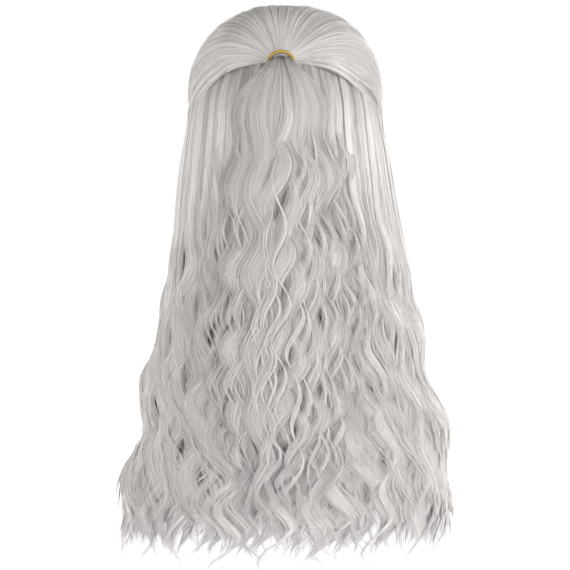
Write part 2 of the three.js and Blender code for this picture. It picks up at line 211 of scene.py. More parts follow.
def top_point(bearing, reach, height):
    """A place in the swept-up hair: bearing about the tie, reach from it, height 0 to 1."""
    b, r = np.radians(bearing)[..., None], np.radians(reach)[..., None]
    towards = np.cos(r) * TO_TIE + np.sin(r) * (np.cos(b) * TO_CROWN + np.sin(b) * TO_LEFT)
    size = (np.abs(towards) ** FULLNESS).sum(-1, keepdims=True)
    outside = HAIR * towards * size ** (-1 / FULLNESS) + HEAD_CENTRE
    inside = (HEAD + HAIR_BASE) * towards + HEAD_CENTRE
    full = mix(0.35, 1, ease(TOP_REACH - reach, 0, 16)) * mix(0.4, 1, ease(reach, TOP_NEAR, 36))
    return mix(inside, outside, (full * height)[..., None])


def fall_point(azimuth, height, z, side=0.0, lift=0.0):
    """A place in the long hair: azimuth, height 0 inside to 1 outside, level z, and a shift."""
    above = np.clip(z - HEAD_CENTRE[2], 0, HAIR[2] - 1)
    outer_fit = (1 - (above / HAIR[2]) ** FULLNESS) ** (1 / FULLNESS)
    inner_fit = np.sqrt(np.clip(1 - (above / (HEAD[2] + HAIR_BASE)) ** 2, 0, 1))
    level = np.minimum(z, HEAD_CENTRE[2])
    thick = through(FALL_THICK, level)
    from_face = np.minimum(azimuth, 360 - azimuth)
    width = mix(HAIR[0], through(FALL_WIDTH, level), ease(from_face, 55, 95))
    depth = through(FALL_DEPTH, level)
    half_width = mix((width - thick) * inner_fit, width * outer_fit, height) + lift
    half_depth = mix((depth - thick) * inner_fit, depth * outer_fit, height) + lift
    turn = np.radians(azimuth) + side / SIDE_RADIUS
    return np.stack([half_width * np.sin(turn), -half_depth * np.cos(turn), z + 0 * turn], axis=-1)


def bell(azimuth, width):
    """1 behind the tie, and falling to nothing on both sides."""
    return np.exp(-(((azimuth - TIE_AZIMUTH) / width) ** 2))


def parting_level(azimuth, height):
    """The level where the long hair comes out under the swept-up hair."""
    normal = unit(TO_CROWN / HAIR)
    below = 4 + 12 * bell(azimuth, 16)
    low, high = np.full(azimuth.shape, -175.0), np.full(azimuth.shape, 0.0)
    for _ in range(20):  # halves the interval until it is a fraction of a micrometre
        z = (low + high) / 2
        above = (fall_point(azimuth, height, z) - HEAD_CENTRE) @ normal + below > 0
        low, high = np.where(above, low, z), np.where(above, z, high)
    return low


# ---- Meshes ----

CELL_SHAPE = 14  # a tube's cell in the UV square is about this many times as tall as wide


def put_values(mesh, name, values):
    """A number for each vertex, which the materials read by its name."""
    attribute = mesh.attributes.new(name, "FLOAT", "POINT")
    attribute.data.foreach_set("value", values.astype(np.float32))


class Hair:
    """Closed tubes gathered into one mesh: soft bodies of whole locks and the strands over them."""

    def __init__(self):
        self.batches = []

    def add(self, rings, tone, depth, across):
        """rings is (tubes, steps, sides, 3). tone and depth are per tube, and across per side."""
        around = np.roll(rings[0], -1, axis=1)  # the first tube shows whether faces point outwards
        slopes = np.cross(rings[0][:-1], around[:-1]) + np.cross(around[:-1], around[1:])
        if (slopes * rings[0][1:]).sum() > 0:
            rings, across = rings[:, :, ::-1], across[::-1]
        self.batches.append((rings, np.asarray(tone, float), np.asarray(depth, float), across))

    def add_strands(self, paths, half_width, half_depth, outward, tone, depth):
        """Three-sided strands along paths of (strands, steps, 3), flat towards outward."""
        tangent = unit(np.gradient(paths, axis=1))
        side = unit(np.cross(tangent, outward))
        up = np.cross(side, tangent)
        ring = [side * (half_width * math.cos(t))[..., None]
                + up * (half_depth * math.sin(t))[..., None] for t in np.radians([90, 210, 330])]
        self.add(paths[:, :, None, :] + np.stack(ring, axis=2), np.clip(tone, 0, 1), depth,
                 np.array([0.5, 0.0, 1.0]))

    def cells(self):
        """A cell of the UV square for each tube, and the number of cells in a row and a column."""
        widths = np.concatenate([np.full(len(b[0]), b[0].shape[2] // 3) for b in self.batches])
        per_row = max(12, math.ceil(math.sqrt(widths.sum() * CELL_SHAPE)))
        places, column, row = [], 0, 0
        for width in widths:
            if column + width > per_row:
                column, row = 0, row + 1
            places.append((column, row))
            column += width
        return np.array(places, float), [per_row, row + 1]

    def build(self, name, material):
        """Turns all the tubes into one object, with UVs and with the values that materials read."""
        places, grid = self.cells()
        points, loops, totals, uvs = [], [], [], []
        values = {"tone": [], "along": [], "depth": [], "across": []}
        start, first = 0, 0
        for rings, tone, depth, across in self.batches:
            n, m, k, _ = rings.shape
            points.append(rings.reshape(-1, 3))
            base = (start + np.arange(n) * m * k)[:, None, None]
            j, i = np.meshgrid(np.arange(m - 1), np.arange(k), indexing="ij")
            a, b = j * k + i, j * k + (i + 1) % k
            loops.append((np.stack([a, b, b + k, a + k], axis=-1)[None] + base[..., None]).ravel())
            caps = np.stack([np.arange(k)[::-1], (m - 1) * k + np.arange(k)])
            loops.append((caps[None] + base).ravel())
            totals += [np.full(n * (m - 1) * k, 4), np.full(n * 2, k)]
            corner = places[first:first + n]
            width = k // 3
            us = np.stack([i, i + 1, i + 1, i], axis=-1) / k * 0.9 + 0.05
            vs = np.stack([j, j, j + 1, j + 1], axis=-1) / (m - 1) * 0.9 + 0.05
            strip = np.stack([us * width, vs], axis=-1)[None] + corner[:, None, None, None]
            turn = TURN * np.arange(k) / k
            round_cap = np.stack([(0.5 + 0.4 * np.cos(turn)) * width, 0.018 + 0.012 * np.sin(turn)],
                                 axis=-1)
            caps = np.stack([round_cap, round_cap + [0, 0.96]])[None] + corner[:, None, None]
            uvs += [(strip / grid).reshape(-1, 2), (caps / grid).reshape(-1, 2)]
            along = span(m)[None, :, None]
            for key, value in (("tone", tone[:, None, None]), ("depth", depth[:, None, None]),
                               ("along", along), ("across", across[None, None])):
                values[key].append(np.broadcast_to(value, (n, m, k)).ravel())
            start, first = start + n * m * k, first + n
        points = np.concatenate(points) * MM
        loops, totals = np.concatenate(loops), np.concatenate(totals)
        mesh = bpy.data.meshes.new(name)
        mesh.vertices.add(len(points))
        mesh.vertices.foreach_set("co", points.astype(np.float32).ravel())
        mesh.loops.add(len(loops))
        mesh.loops.foreach_set("vertex_index", loops.astype(np.int32))
        mesh.polygons.add(len(totals))
        starts = np.concatenate([[0], np.cumsum(totals)[:-1]])
        mesh.polygons.foreach_set("loop_start", starts.astype(np.int32))
        mesh.polygons.foreach_set("use_smooth", np.ones(len(totals), bool))
        layer = mesh.uv_layers.new(name="OFBake")
        layer.data.foreach_set("uv", np.concatenate(uvs).astype(np.float32).ravel())
        for key, parts in values.items():
            put_values(mesh, key, np.concatenate(parts))
        mesh.update(calc_edges=True)
        mesh.validate()
        return place_object(name, mesh, material)


def place_object(name, mesh, material):
    mesh.materials.append(material)
    obj = bpy.data.objects.new(name, mesh)
    bpy.context.scene.collection.objects.link(obj)
    return obj


def solid(name, points, faces, material, **values):
    """An object from points in millimetres and faces of four of them."""
    mesh = bpy.data.meshes.new(name)
    mesh.from_pydata((points * MM).tolist(), [], faces.tolist())
    for key, numbers in values.items():
        put_values(mesh, key, numbers)
    mesh.polygons.foreach_set("use_smooth", np.ones(len(mesh.polygons), bool))
    mesh.update()
    return place_object(name, mesh, material)


def sheet(name, place, us, vs, material, closed=False):
    """A sheet with two faces: place(u, v, layer) gives points for layers 0 and 1. A closed one
    runs into itself along u."""
    u, v = np.meshgrid(us, vs, indexing="ij")
    nu, nv = u.shape
    if closed:
        u, v, nu = u[:-1], v[:-1], nu - 1
    points = np.concatenate([place(u, v, layer).reshape(-1, 3) for layer in (0, 1)])
    index = np.arange(nu * nv).reshape(nu, nv)
    ring = np.concatenate([index, index[:1]]) if closed else index
    a, b, c, d = ring[:-1, :-1], ring[1:, :-1], ring[1:, 1:], ring[:-1, 1:]
    inner = np.stack([a, b, c, d], axis=-1).reshape(-1, 4)
    top = nu * nv
    faces = [inner[:, ::-1], inner + top]
    edges = [np.stack([ring[:-1, 0], ring[1:, 0]], 1), np.stack([ring[1:, -1], ring[:-1, -1]], 1)]
    if not closed:
        edges += [np.stack([index[-1, :-1], index[-1, 1:]], 1),
                  np.stack([index[0, 1:], index[0, :-1]], 1)]
    for edge in edges:
        faces.append(np.stack([edge[:, 0], edge[:, 1], edge[:, 1] + top, edge[:, 0] + top], 1))
    return solid(name, points, np.concatenate(faces), material, along=np.tile(u.ravel(), 2),
                 across=np.tile(v.ravel(), 2))


# ---- Materials ----


class Nodes:
    """Short calls for building one material's node tree."""

    def __init__(self, name):
        self.material = bpy.data.materials.new(name)
        self.material.use_nodes = True
        self.tree = self.material.node_tree
        self.shader = self.tree.nodes["Principled BSDF"]

    def new(self, kind, **inputs):
        node = self.tree.nodes.new(kind)
        for key, value in inputs.items():
            self.put(node.inputs[key.replace("_", " ")], value)
        return node

    def put(self, socket, value):
        if isinstance(value, bpy.types.NodeSocket):
            self.tree.links.new(value, socket)
        else:
            socket.default_value = value

    def attribute(self, name):
        node = self.tree.nodes.new("ShaderNodeAttribute")
        node.attribute_name = name
        return node.outputs["Fac"]

    def noise(self, scale, detail=2.0, stretch=(1, 1, 1)):
        place = self.tree.nodes.new("ShaderNodeTexCoord").outputs["Object"]
        mapping = self.new("ShaderNodeMapping", Vector=place, Scale=stretch)
        return self.new("ShaderNodeTexNoise", Vector=mapping.outputs["Vector"],
                        Scale=scale, Detail=detail).outputs["Fac"]

    def math(self, operation, a, b=0.0):
        node = self.tree.nodes.new("ShaderNodeMath")
        node.operation = operation
        self.put(node.inputs[0], a)
        self.put(node.inputs[1], b)
        return node.outputs[0]

    def spread(self, value, low=0.3, high=0.7, to_low=0.0, to_high=1.0):
        node = self.tree.nodes.new("ShaderNodeMapRange")
        for socket, number in zip(node.inputs, (value, low, high, to_low, to_high)):
            self.put(socket, number)
        return node.outputs["Result"]

    def blend(self, share, a, b, kind="MIX"):
        node = self.tree.nodes.new("ShaderNodeMix")
        node.data_type = "RGBA"
        node.blend_type = kind
        self.put(node.inputs[0], share)
        self.put(node.inputs[6], a)
        self.put(node.inputs[7], b)
        return node.outputs[2]

    def bump(self, height, strength, distance):
        node = self.new("ShaderNodeBump", Height=height, Strength=strength, Distance=distance)
        self.tree.links.new(node.outputs["Normal"], self.shader.inputs["Normal"])

    def finish(self, color, roughness, **constants):
        self.put(self.shader.inputs["Base Color"], color)
        self.put(self.shader.inputs["Roughness"], roughness)
        for key, value in constants.items():
            self.shader.inputs[key.replace("_", " ")].default_value = value
        return self.material


def grey(value, warmth=0.03):
    return (value * (1 + warmth * 0.6), value, value * (1 - warmth * 1.3), 1)


def hair_material(name, light, dark):
    """Synthetic fibre: fine streaks along each strand, and painted shade, darker and cooler deep
    inside the mass.
    """
    n = Nodes(name)
    tone, along, depth = n.attribute("tone"), n.attribute("along"), n.attribute("depth")
    place = n.new("ShaderNodeCombineXYZ", X=n.math("MULTIPLY", n.attribute("across"), 2.5),
                  Y=n.math("MULTIPLY", along, 7.0), Z=n.math("MULTIPLY", tone, 90.0)).outputs[0]
    fibre = n.new("ShaderNodeTexNoise", Vector=place, Scale=1.6, Detail=3.0).outputs["Fac"]
    streak = n.spread(fibre)
    mottled = n.spread(n.noise(38, 2.0, (1, 1, 0.3)))
    shade = n.math("ADD", n.math("MULTIPLY", tone, 0.78),
                   n.math("ADD", n.math("MULTIPLY", streak, 0.16),
                          n.math("MULTIPLY", mottled, 0.12)))
    color = n.blend(shade, *((value * 1.04, value, value * 0.965, 1) for value in (dark, light)))
    # Painted shade: darker where depth is low, deep inside the mass, fading in from the first part
    # of each strand.
    painted_shade = n.math("MULTIPLY", n.spread(depth, 0.1, 0.75, 0.14, 0.0), n.spread(along, 0.15, 0.4))
    # Painted shadow under the hair above: darker over the first part of each strand (along below
    # 0.13).
    painted_shade = n.math("SUBTRACT", n.spread(along, 0.02, 0.13, 0.84, 1.0), painted_shade)
    painted_shade = n.new("ShaderNodeCombineColor", Red=painted_shade, Green=painted_shade, Blue=painted_shade).outputs[0]
    color = n.blend(1.0, color, painted_shade, "MULTIPLY")
    # Painted shade: deep strands turn darker and cooler near their tips.
    painted_cool_shade = n.math("MULTIPLY", n.spread(along, 0.8, 0.97), n.spread(depth, 0.7, 0.3, 0.2, 0.7))
    color = n.blend(painted_cool_shade, color, (0.80, 0.78, 0.86, 1))
    n.bump(fibre, 0.35, 0.0004)
    return n.finish(color, n.spread(streak, 0, 1, 0.72, 0.55), Specular_IOR_Level=0.16,
                    Sheen_Weight=0.1, Sheen_Roughness=0.4)


def woven_material(name, value, warmth, ribs, rows):
    """Woven tape: ribs along the length and rows across it, from the sheet's own coordinates."""
    n = Nodes(name)
    rib = n.math("SINE", n.math("MULTIPLY", n.attribute("across"), ribs * TURN))
    row = n.math("SINE", n.math("MULTIPLY", n.attribute("along"), rows * TURN))
    weave = n.math("MULTIPLY", rib, row)
    cloudy = n.noise(90, 3.0)
    light = n.math("ADD", n.spread(weave, -1, 1, 0.35, 0.8), n.spread(cloudy, 0.3, 0.7, -0.15, 0.2))
    color = n.blend(light, grey(value * 0.72, warmth), grey(value, warmth))
    n.bump(weave, 0.5, 0.0002)
    return n.finish(color, n.spread(weave, -1, 1, 0.92, 0.78), Sheen_Weight=0.25)


def thread_material(name, value, warmth):
    n = Nodes(name)
    twist = n.noise(1500, 2.0, (1, 1, 3))
    color = n.blend(n.spread(twist), grey(value * 0.78, warmth), grey(value, warmth))
    n.bump(twist, 0.4, 0.0001)
    return n.finish(color, n.spread(twist, 0.3, 0.7, 0.9, 0.72), Sheen_Weight=0.2)


def elastic_material(name):
    """Covered elastic in golden yellow, with fine ribs of thread round the band."""
    n = Nodes(name)
    ribs = n.math("SINE", n.math("MULTIPLY", n.attribute("along"), 150.0 * math.pi))
    worn = n.noise(260, 3.0)
    color = n.blend(n.spread(ribs, -1, 1, 0.15, 0.95), (0.30, 0.19, 0.03, 1), (0.66, 0.44, 0.06, 1))
    color = n.blend(n.spread(worn, 0.45, 0.75, 0, 0.35), color, (0.74, 0.56, 0.16, 1))
    n.bump(ribs, 0.6, 0.0003)
    return n.finish(color, n.spread(ribs, -1, 1, 0.55, 0.4), Sheen_Weight=0.15)


def moulded_material(name, value, warmth):
    n = Nodes(name)
    pits = n.noise(1800, 2.0)
    cloudy = n.spread(n.noise(200, 2.0))
    color = n.blend(cloudy, grey(value * 0.9, warmth), grey(value, warmth))
    n.bump(pits, 0.12, 0.0001)
    return n.finish(color, n.spread(pits, 0.3, 0.7, 0.28, 0.4))


def wire_material(name):
    n = Nodes(name)
    drawn = n.noise(1200, 2.0, (4, 4, 0.2))
    color = n.blend(n.spread(drawn), (0.42, 0.43, 0.45, 1), (0.66, 0.67, 0.69, 1))
    n.bump(drawn, 0.1, 0.00005)
    return n.finish(color, n.spread(drawn, 0.3, 0.7, 0.28, 0.42), Metallic=1.0)


FIBRE = hair_material("hair_fibre", 0.94, 0.47)
NET_THREAD = thread_material("net_thread", 0.74, 0.06)
TRACK_THREAD = thread_material("track_stitching", 0.55, 0.04)
STITCH_THREAD = thread_material("stitch_thread", 0.82, 0.03)
TAPE = woven_material("cap_tape", 0.78, 0.07, 9, 260)
TAB_TAPE = woven_material("ear_tab_tape", 0.78, 0.07, 6, 24)
STRAP = woven_material("strap_elastic", 0.86, 0.03, 7, 22)
ELASTIC = elastic_material("tie_elastic")
PLASTIC = moulded_material("hook_plastic", 0.82, 0.03)
WIRE = wire_material("stay_wire")

# ---- Locks ----

STRAND = (0.13, 0.27)  # half width of a strand
BODY_SIDES = 12  # sides of a soft body's section
SHORTENING = 760.0  # twice the drop, about, in which the waves reach their low length


def some(count):
    return max(4, int(round(count * DENSITY)))


def wave_turns(z, start, top_length, low_length):
    """How many waves there are between the start level and z, with waves that shorten downwards."""
    drop = np.maximum(start - z, 0)
    return drop / top_length * (1 + (top_length / low_length - 1) * drop / SHORTENING)


def from_axis(paths):
    """Directions straight away from the wig's upright axis."""
    return unit(paths * np.array([1.0, 1.0, 0.0]) + np.array([0, 0, 1e-6]))


def from_head(paths):
    return unit(paths - HEAD_CENTRE)


def add_lock(hair, rng, paths_of, outward_of, width, count, tone, depth, outer=0.8, taper=0.88):
    """One lock: a soft body with a lens section, and strands that lie along its faces. A lock
    without width is a loose wisp of strands only. outer is the share of strands on its outer face.
    paths_of(across, inside, loose, short) gives paths for places in the section from -1 to 1,
    with each strand's own looseness and how much it is shortened."""
    if width:
        turn = np.linspace(-0.5 * np.pi, 1.5 * np.pi, BODY_SIDES, endpoint=False)
        body = paths_of(0.86 * np.cos(turn), 0.8 * np.sin(turn), np.zeros(BODY_SIDES),
                        np.full(BODY_SIDES, 0.5))
        full = 1 - 0.95 * ease(span(body.shape[1]), 0.8, 1)[None, :, None]
        body = mix(body.mean(axis=0, keepdims=True), body, full)
        # The body gets a darker tone than its strands: painted shade for the inside of the lock.
        hair.add(body.transpose(1, 0, 2)[None], [0.36 + 0.7 * tone], [depth],
                 np.linspace(0, width / 1.6, BODY_SIDES))
    number = some(count)
    across = rng.uniform(-1.08, 1.08, number)
    face = np.where(rng.random(number) < outer, 1.0, -1.0)
    inside = face * np.sqrt(np.maximum(1.2 - across ** 2, 0.04)) * rng.uniform(0.75, 1.2, number)
    short = np.abs(across) ** 1.5 * 0.6 + np.abs(rng.normal(0, 0.25, number))
    short = short + np.where(rng.random(number) < 0.12, rng.uniform(0, 2, number), 0)
    paths = paths_of(across, inside, rng.normal(0, 1, number), short)
    share = span(paths.shape[1])
    profile = mix(0.5, 1, ease(share, 0, 0.08)) * mix(1, 0.1, ease(share, taper, 1) ** 1.3)
    half = rng.uniform(*STRAND, number)[:, None] * profile
    # Strands darken towards the lock's edges: painted shade that rounds each lock; the normal term
    # is random tone.
    shade = 0.66 + tone + 0.17 * rng.normal(0, 1, number) - 0.38 * across ** 2
    hair.add_strands(paths, half, half * 0.6, outward_of(paths), shade, np.full(number, depth))


def fall_paths(spec, across, inside, loose, short):
    """Paths of hair that hangs from under the swept-up hair and gathers to the lock's point."""
    azimuth = spec.middle + spec.half * across
    height = np.clip(spec.height + spec.thick * inside, 0.02, 1)
    top = np.minimum(parting_level(azimuth, height) + 13, spec.top)
    share = span(spec.steps)[None, :]
    z = top[:, None] + (spec.tip + 26 * short - top)[:, None] * share ** 0.85
    point = ease(z, spec.tip + spec.point, spec.tip)
    lower = ease(z, -120, -330)
    turns = wave_turns(z, spec.start, spec.long, spec.short) + spec.swing
    swell = 1 + spec.swell * np.sin(TURN * 0.62 * turns + 3 * spec.turn) * lower
    spread = (1 - spec.gather * lower) * (1 - 0.86 * point) * swell
    wander = spec.wander * np.sin(z * 0.0125 + spec.turn * 4) * ease(z, -90, -260)
    own = (0.4 * loose * (1 + 0.4 * np.abs(loose)))[:, None] * ease(z, -70, -200) * (1 - point)
    place = spec.middle + wander + spec.half * across[:, None] * spread + own
    swing = TURN * turns + (0.2 * across + 0.14 * loose)[:, None] * lower
    beat = (0.8 + 0.2 * np.sin(z * 0.021 + 5 * spec.swing)) * mix(1, 1.3, ease(z, -260, -440))
    wave = spec.wave * ease(z, spec.start, spec.start - 150) * beat
    side = wave * np.sin(swing) + spec.curl * point ** 2
    lift = 0.2 * wave * np.cos(swing + 0.6) + spec.flare * ease(z, -440, -545) ** 1.5
    outer = ease(abs(spec.middle - 180), 55, 80) * ease(z, -240, -330)
    crest = 392 if spec.middle < 180 else 430
    lift = lift + 4.5 * outer * np.sin(TURN * (z + crest) / 96)
    thick = spec.thick * inside[:, None] * (1 - 0.9 * point) * mix(0.25, 1, ease(z, -110, -280))
    top = top[:, None]
    level = mix(spec.tuck, 1, ease(z, top, top - 60)) * (spec.height + thick)
    paths = fall_point(place, np.clip(level, 0.01, 1.05), z, side, lift)
    paths[..., 0] += through(FALL_LEAN, z)
    return paths


def back_lock(order):
    """Four rows of locks one over another, from the inside out, then one narrow lock in clear
    waves and ten loose wisps. The outermost pieces get points of hair at their side."""
    rng = np.random.default_rng(100 + order)
    vary = rng.uniform
    pitch = (360 - 2 * BACK_FROM) / len(BACK_LOCKS)
    middle = BACK_FROM + (order + 0.5) * pitch
    edge = abs(middle - 180) / (180 - BACK_FROM)
    hair = Hair()

    def lock(azimuth, half, width, count, tone, outer=1.0, **given):
        smooth = 0.3 * math.sin(azimuth * 0.06) + 0.16 * math.sin(azimuth * 0.23 + 1)
        usual = {"middle": azimuth, "half": half, "top": 0.0, "point": 95,
                 "tuck": 0.62 + 0.14 * ease(edge, 0.65, 0.95) - 0.31 * bell(azimuth, 26),
                 "gather": vary(0.0, 0.3), "swell": vary(0.15, 0.4), "wander": vary(0.3, 1.5),
                 "swing": smooth + rng.normal(0, 0.08), "turn": vary(-0.8, 0.8),
                 "long": vary(91, 102), "short": vary(61, 67),
                 "start": -90 - 115 * edge ** 1.5 + vary(-15, 15),
                 "curl": 0.0, "flare": 26 * max(edge - 0.6, 0) * vary(0.5, 1.5)}
        spec = Spec(**(usual | given))
        add_lock(hair, rng, lambda *place: fall_paths(spec, *place), from_axis, width, count,
                 tone + 0.05, spec.height, outer)

    def across(number, place, shift=0.0):
        """The azimuth of one of a number of locks that share this piece's width."""
        even = (place - (number - 1) / 2) / number
        return middle + pitch * (even + shift + vary(-0.04, 0.04))

    for place in range(2):
        lock(across(2, place), pitch / 2 * 0.8, 36, 30, -0.02, 0.1, height=0.1, thick=0.09,
             steps=40, tip=vary(-548, -538), wave=4.0, point=22, gather=0.0)
    for place in range(5):
        lock(across(5, place, 0.07), pitch / 5 * 0.85, 16, 14, 0.02, height=0.36, thick=0.12,
             steps=48, tip=TIP_LEVEL + vary(-2, 8), wave=4.0, point=26, gather=0.0, wander=0.4)
    for place in range(4):
        lock(across(4, place, 0.05), pitch / 4 * 0.95, 20, 54, rng.normal(0, 0.03),
             height=vary(0.54, 0.68), thick=0.13, steps=50, tip=TIP_LEVEL + vary(-2, 12),
             wave=vary(5, 8.5), point=60, curl=vary(-4, 4))
    for place in range(3):
        lock(across(3, place, -0.03), pitch / 3 * vary(0.85, 1.05), 27, 96,
             rng.normal(0, 0.05), height=vary(0.76, 0.88), thick=0.13, steps=50,
             tip=TIP_LEVEL + vary(2, 14), wave=vary(6, 9.5), point=70, curl=vary(-4, 4))
    lock(middle + pitch * vary(-0.1, 0.1), pitch / 3 * 0.5, 12, 56, 0.06, height=0.92,
         thick=0.08, steps=50, tip=TIP_LEVEL - 13, wave=8.5, point=120, curl=vary(-12, -8),
         long=96.0, short=64.0)
    for _ in range(10):
        high = vary(-380, -170)
        lock(middle + pitch * vary(-0.5, 0.5), vary(0.5, 1.2), 0, 11, rng.normal(0, 0.07),
             height=vary(0.9, 0.99), thick=0.03, steps=40, top=high, tuck=0.7,
             start=max(high, -170), tip=vary(-538, -500), swing=vary(0, 1), wave=vary(6, 10),
             point=60, curl=vary(-5, 5))
    if edge > 0.75:
        side_points(hair, rng, middle, pitch)
    return hair


def side_points(hair, rng, middle, pitch):
    """Layered straight points that stand away from the two outer edges near the tips."""
    for _ in range(9):
        azimuth = middle + pitch * rng.uniform(-0.45, 0.45)
        tip, out = rng.uniform(-547, -490), rng.uniform(3, 13)

        def paths_of(across, inside, loose, short):
            share = span(26)[None, :]
            z = mix(-425.0, (tip + 7 * short)[:, None], share)
            point = ease(z, tip + 60, tip)
            swing = TURN * (wave_turns(z, -220, 95, 60) + azimuth * 0.02)
            wave = 5 * (1 - 0.7 * ease(z, -440, -500))
            place = azimuth + 1.6 * across[:, None] * (1 - 0.95 * point) * ease(share, -0.1, 0.2)
            height = mix(0.55, 0.88 + 0.06 * inside[:, None] * (1 - point), ease(share, 0, 0.4))
            return fall_point(place, height, z, wave * np.sin(swing), 2 * np.cos(swing)
                              + out * ease(z, tip + 70, tip) ** 1.4)

        add_lock(hair, rng, paths_of, from_axis, width=6, count=16, tone=0.06, depth=0.9, taper=0.5)


def nape_lock(order):
    rng = np.random.default_rng(300 + order)
    hair = Hair()
    for place in (-1.5, -0.5, 0.5, 1.5):
        middle = 180 + order * 27 + place * 6.4
        tip = -438 + rng.uniform(-8, 14)

        def paths_of(across, inside, loose, short):
            share = span(40)[None, :]
            z = mix(-152.0, (tip + 12 * short)[:, None], share)
            point = ease(z, tip + 80, tip)
            azimuth = middle + (4.4 * across + 0.3 * loose)[:, None] * (1 - 0.92 * point)
            height = -0.42 + 0.26 * inside[:, None] * (1 - 0.85 * point)
            swing = TURN * (wave_turns(z, -170, 95, 65) + 0.2 * place + 0.1 * order)
            wave = 5 * ease(z, -170, -300)
            return fall_point(azimuth, height, z, wave * np.sin(swing), 0.4 * wave * np.cos(swing))

        add_lock(hair, rng, paths_of, from_axis, width=18, count=60, tone=-0.04, depth=0.35,
                 outer=0.4)
    return hair


def swept_paths(spec, across, inside, loose, short):
    """Paths of hair that is swept from the hairline, or from rows behind it, to the tie."""
    bearing = spec.middle + spec.half * across + 0.5 * loose
    far = spec.far - 8 * (bearing / 90) ** 2 + 0.6 * loose - 14 * np.maximum(short - 0.9, 0)
    share = span(spec.steps)[None, :]
    reach = mix(far[:, None], TOP_NEAR - 1.5, share)
    lean = (1.5 * np.sin(np.radians(reach * 2.2) + spec.lean)
            + 0.7 * np.sin(np.radians(reach * 4) + spec.sweep))
    rounded = mix(0.34, 0.14, ease(abs(spec.middle), 30, 75))
    rise = mix(0.12, 1, ease(share, 0, rounded) ** 0.8)
    border = mix(0.12, 0.38, ease(reach, 18, 48)) - 0.2 * ease(reach, 55, 90)
    border = border * ease(np.abs(bearing), 66, 90)[:, None]
    height = np.clip(spec.base + spec.thick * inside, 0.05, 1.02)[:, None]
    height = height * rise * (1 - border)
    paths = top_point(bearing[:, None] + lean * ease(reach, 12, 45), reach, height)
    angle = np.radians(bearing)
    ring = TIE_UP * np.cos(angle)[:, None] + X_AXIS * np.sin(angle)[:, None]
    hole = (8.6 + 1.4 * inside)[:, None] * ring
    before, after = TIE_CENTRE + hole - 5 * TIE_OUT, TIE_CENTRE + hole * 0.95 + 3 * TIE_OUT
    paths = mix(paths, before[:, None], ease(share, 0.86, 0.97)[..., None])
    return mix(paths, after[:, None], ease(share, 0.96, 1.0)[..., None])


def top_lock(order):
    """A wedge of the swept-up hair: two layers of five locks. The two lowest wedges also have
    loose wisps along the border of the swept-up hair."""
    rng = np.random.default_rng(500 + order)
    vary = rng.uniform
    wedge = 178 / len(TOP_LOCKS)
    number = 5
    last = (len(TOP_LOCKS) - 1) / 2
    from_centre = order - last
    hair = Hair()

    def lock(width, count, tone, outer, **given):
        usual = {"far": TOP_REACH, "steps": 34, "lean": 0.9 * order, "sweep": vary(0, TURN)}
        spec = Spec(**(usual | given))
        add_lock(hair, rng, lambda *place: swept_paths(spec, *place), from_head, width, count, tone,
                 0.3 + 0.7 * spec.base, outer, 0.9)

    for base in (0.42, 0.78):
        upper = base > 0.5
        for place in range(number):
            middle = wedge * (from_centre + (place + 0.5) / number - 0.5)
            lock(10, 84 if upper else 20, rng.normal(0, 0.07), 1.0 if upper else 0.5, middle=middle,
                 half=wedge / number * vary(0.62, 0.86), base=base + vary(-0.05, 0.05),
                 thick=0.17 if upper else 0.28)
    if abs(from_centre) == last:
        for _ in range(30):
            # These border wisps are darker: painted shade along the lower edge of the swept-up
            # hair.
            lock(0, 9, rng.normal(-0.08, 0.1), 1.0, middle=math.copysign(vary(83, 98), from_centre),
                 half=vary(0.6, 2.0), base=0.93, thick=0.05, steps=26,
                 far=vary(42, TOP_REACH - 3), lean=vary(0, TURN))
    return hair


# The ponytail's middle line as (Y, Z), and its half width and half depth by level.
PONYTAIL_ROUTE = [(96.5, -41.4), (105, -44.5), (113.7, -47.6), (121, -56), (126, -72), (128, -96),
                  (129, -135), (129, -190), (129, -250), (129, -310), (128.5, -370), (128, -420),
                  (127, -462), (125, -505)]
PONYTAIL_WIDTH = [(-505, 34), (-462, 50), (-410, 60), (-340, 63), (-250, 60), (-180, 55),
                  (-128, 52), (-90, 49), (-72, 43), (-62, 35), (-55, 25), (-50, 17),
                  (-44.5, 10.8), (-41, 9.6)]
PONYTAIL_DEPTH = [(-505, 4), (-430, 8), (-250, 10), (-96, 10), (-60, 11), (-50, 12),
                  (-44.5, 10.4), (-41, 9.4)]


def route_points(route, share):
    """Points at equal steps of length along a smooth route in the plane of X."""
    rows = np.array(route, float)
    fine = np.linspace(0, len(rows) - 1, 600)
    line = np.stack([through(list(enumerate(rows[:, axis])), fine) for axis in (0, 1)], axis=1)
    length = np.concatenate([[0], np.cumsum(np.linalg.norm(np.diff(line, axis=0), axis=1))])
    return np.stack([np.interp(share * length[-1], length, line[:, axis]) for axis in (0, 1)],
                    axis=-1)


